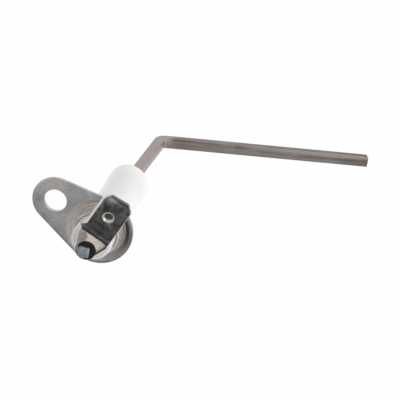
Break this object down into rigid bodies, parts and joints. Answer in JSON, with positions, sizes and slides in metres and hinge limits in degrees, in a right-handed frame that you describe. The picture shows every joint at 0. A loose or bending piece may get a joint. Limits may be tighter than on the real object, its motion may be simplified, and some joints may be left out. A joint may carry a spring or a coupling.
{
  "type": "flame-sensing ignition electrode",
  "caption": "Square metal electrode rod in a ceramic insulator, held by a teardrop sheet bracket with a screw hole, with a push-on flag terminal at the rear.",
  "frame": {"origin": "centre of the bracket's screw hole, in the plane of the bracket's burner-side face", "axes": "+Z along the insulator from the burner end to the terminal end, +X from the insulator to the screw hole, the flag terminal points towards -Y"},
  "size_m": [0.0553, 0.0258, 0.0792],
  "materials": {
    "bracket_steel": "bright rolled stainless sheet",
    "collar_steel": "bright spring steel",
    "packing_fibre": "dull mineral fibre",
    "insulator_ceramic": "white steatite, satin glaze",
    "rod_alloy": "drawn heat-resistant alloy, brownish grey",
    "sealing_cement": "dull cast cement",
    "terminal_steel": "plated steel, slightly tarnished",
    "weld_oxide": "black weld oxide"
  },
  "bodies": {
    "root": {"mounting_bracket": "bracket_steel", "spring_collar": "collar_steel", "packing_ring": "packing_fibre", "ceramic_insulator": "insulator_ceramic", "electrode_rod": "rod_alloy", "front_cement": "sealing_cement", "rear_cement": "sealing_cement", "flag_terminal": "terminal_steel", "weld_bead": "weld_oxide"}
  },
  "joints": []
}
